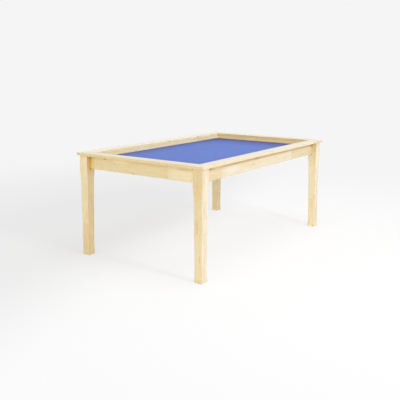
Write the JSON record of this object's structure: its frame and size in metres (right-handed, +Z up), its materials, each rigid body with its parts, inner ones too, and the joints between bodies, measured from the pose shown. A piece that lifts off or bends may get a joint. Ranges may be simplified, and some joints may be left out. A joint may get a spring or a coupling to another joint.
{
  "type": "board game table",
  "caption": "Board game table: a wide mitred wooden rim round a sunken playing well with a blue cloth-covered lift-out surface, set-back aprons and shaped square legs.",
  "frame": {"origin": "on the floor, under the middle of the table", "axes": "+X along the table's length, +Z up, and -Y is the front long side"},
  "size_m": [1.8, 1.115, 0.76],
  "materials": {
    "lacquered_hardwood": "pale finger-jointed hardwood under a clear satin lacquer",
    "planed_softwood": "planed, unfinished softwood",
    "birch_plywood": "sanded birch plywood",
    "blue_play_cloth": "close-woven blue cloth with a short soft nap",
    "foam_underlay": "thin closed-cell foam sheet",
    "zinc_plated_steel": "bright zinc plating on pressed steel",
    "nylon_glide": "moulded white nylon"
  },
  "bodies": {
    "table_frame": {"rim_front": "lacquered_hardwood", "rim_right": "lacquered_hardwood", "rim_back": "lacquered_hardwood", "rim_left": "lacquered_hardwood", "apron_front": "lacquered_hardwood", "apron_right": "lacquered_hardwood", "apron_back": "lacquered_hardwood", "apron_left": "lacquered_hardwood", "well_liner_front": "lacquered_hardwood", "well_liner_right": "lacquered_hardwood", "well_liner_back": "lacquered_hardwood", "well_liner_left": "lacquered_hardwood", "leg_front_left": "lacquered_hardwood", "leg_front_right": "lacquered_hardwood", "leg_back_right": "lacquered_hardwood", "leg_back_left": "lacquered_hardwood", "ledger_front": "planed_softwood", "ledger_right": "planed_softwood", "ledger_back": "planed_softwood", "ledger_left": "planed_softwood", "bearer_1": "planed_softwood", "bearer_2": "planed_softwood", "bearer_3": "planed_softwood", "corner_bracket_front_left": "zinc_plated_steel", "corner_bracket_front_right": "zinc_plated_steel", "corner_bracket_back_right": "zinc_plated_steel", "corner_bracket_back_left": "zinc_plated_steel", "hanger_bolt_front_left": "zinc_plated_steel", "hanger_bolt_front_right": "zinc_plated_steel", "hanger_bolt_back_right": "zinc_plated_steel", "hanger_bolt_back_left": "zinc_plated_steel", "washer_front_left": "zinc_plated_steel", "washer_front_right": "zinc_plated_steel", "washer_back_right": "zinc_plated_steel", "washer_back_left": "zinc_plated_steel", "hex_nut_front_left": "zinc_plated_steel", "hex_nut_front_right": "zinc_plated_steel", "hex_nut_back_right": "zinc_plated_steel", "hex_nut_back_left": "zinc_plated_steel", "foot_glide_front_left": "nylon_glide", "foot_glide_front_right": "nylon_glide", "foot_glide_back_right": "nylon_glide", "foot_glide_back_left": "nylon_glide"},
    "play_surface": {"play_panel": "birch_plywood", "play_underlay": "foam_underlay", "play_cloth": "blue_play_cloth"}
  },
  "joints": [
    {"name": "play_surface_lift", "type": "slide", "parent": "table_frame", "child": "play_surface", "axis": [0, 0, 1], "range_m": [0, 0.1]}
  ]
}
